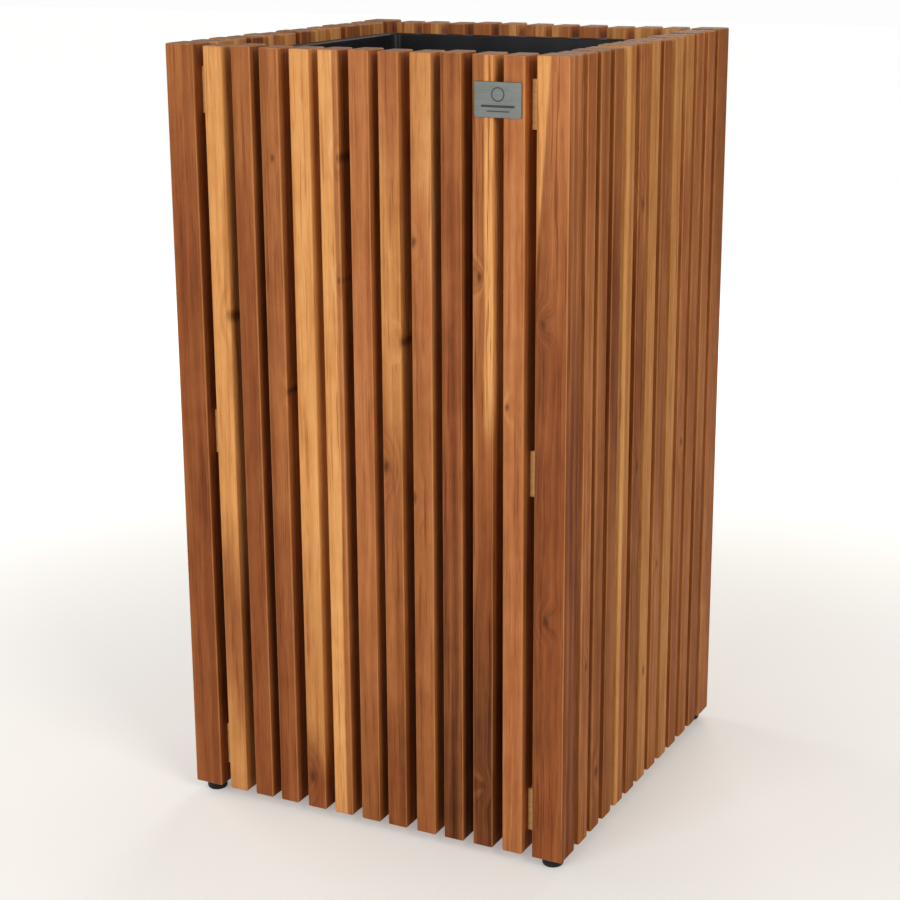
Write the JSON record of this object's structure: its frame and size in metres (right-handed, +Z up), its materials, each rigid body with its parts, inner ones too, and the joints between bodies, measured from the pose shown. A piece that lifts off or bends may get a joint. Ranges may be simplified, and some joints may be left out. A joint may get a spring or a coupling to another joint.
{
  "type": "planter box",
  "caption": "Tall square garden planter clad in upright hardwood slats between corner posts, with a black lift-out plastic liner and round feet.",
  "frame": {"origin": "on the ground, under the middle of the box's footprint", "axes": "+X along the front to the right as seen from the front, +Y from front to rear, +Z up"},
  "size_m": [0.4, 0.4013, 0.74],
  "materials": {
    "acacia_honey": "oiled light acacia sapwood",
    "acacia_peach": "oiled pinkish acacia",
    "acacia_tan": "oiled mid-brown acacia",
    "acacia_brown": "oiled dark acacia heartwood",
    "rail_wood": "sawn acacia",
    "liner_plastic": "satin moulded",
    "foot_plastic": "satin moulded",
    "screw_steel": "zinc plated",
    "plate_steel": "fine brushed",
    "pad_foam": "adhesive foam"
  },
  "bodies": {
    "box": {"front_slat_01": "acacia_honey", "front_slat_02": "acacia_brown", "front_slat_03": "acacia_tan", "front_slat_04": "acacia_honey", "front_slat_05": "acacia_honey", "front_slat_06": "acacia_peach", "front_slat_07": "acacia_tan", "front_slat_08": "acacia_peach", "front_slat_09": "acacia_brown", "front_slat_10": "acacia_peach", "front_slat_11": "acacia_tan", "right_slat_01": "acacia_tan", "right_slat_02": "acacia_brown", "right_slat_03": "acacia_honey", "right_slat_04": "acacia_tan", "right_slat_05": "acacia_peach", "right_slat_06": "acacia_brown", "right_slat_07": "acacia_honey", "right_slat_08": "acacia_tan", "right_slat_09": "acacia_honey", "right_slat_10": "acacia_brown", "right_slat_11": "acacia_peach", "rear_slat_01": "acacia_tan", "rear_slat_02": "acacia_peach", "rear_slat_03": "acacia_brown", "rear_slat_04": "acacia_honey", "rear_slat_05": "acacia_tan", "rear_slat_06": "acacia_honey", "rear_slat_07": "acacia_brown", "rear_slat_08": "acacia_peach", "rear_slat_09": "acacia_tan", "rear_slat_10": "acacia_brown", "rear_slat_11": "acacia_honey", "left_slat_01": "acacia_honey", "left_slat_02": "acacia_tan", "left_slat_03": "acacia_honey", "left_slat_04": "acacia_brown", "left_slat_05": "acacia_peach", "left_slat_06": "acacia_tan", "left_slat_07": "acacia_brown", "left_slat_08": "acacia_honey", "left_slat_09": "acacia_tan", "left_slat_10": "acacia_peach", "left_slat_11": "acacia_brown", "post_front_left": "acacia_tan", "post_front_right": "acacia_tan", "post_rear_right": "acacia_tan", "post_rear_left": "acacia_tan", "front_rails": "rail_wood", "right_rails": "rail_wood", "rear_rails": "rail_wood", "left_rails": "rail_wood", "liner_battens": "rail_wood", "feet": "foot_plastic", "foot_screws": "screw_steel", "slat_screws": "screw_steel", "frame_screws": "screw_steel", "nameplate": "plate_steel", "nameplate_pads": "pad_foam"},
    "liner": {"liner": "liner_plastic"}
  },
  "joints": [
    {"name": "liner_lift", "type": "slide", "parent": "box", "child": "liner", "axis": [0, 0, 1], "range_m": [0, 0.34]}
  ]
}
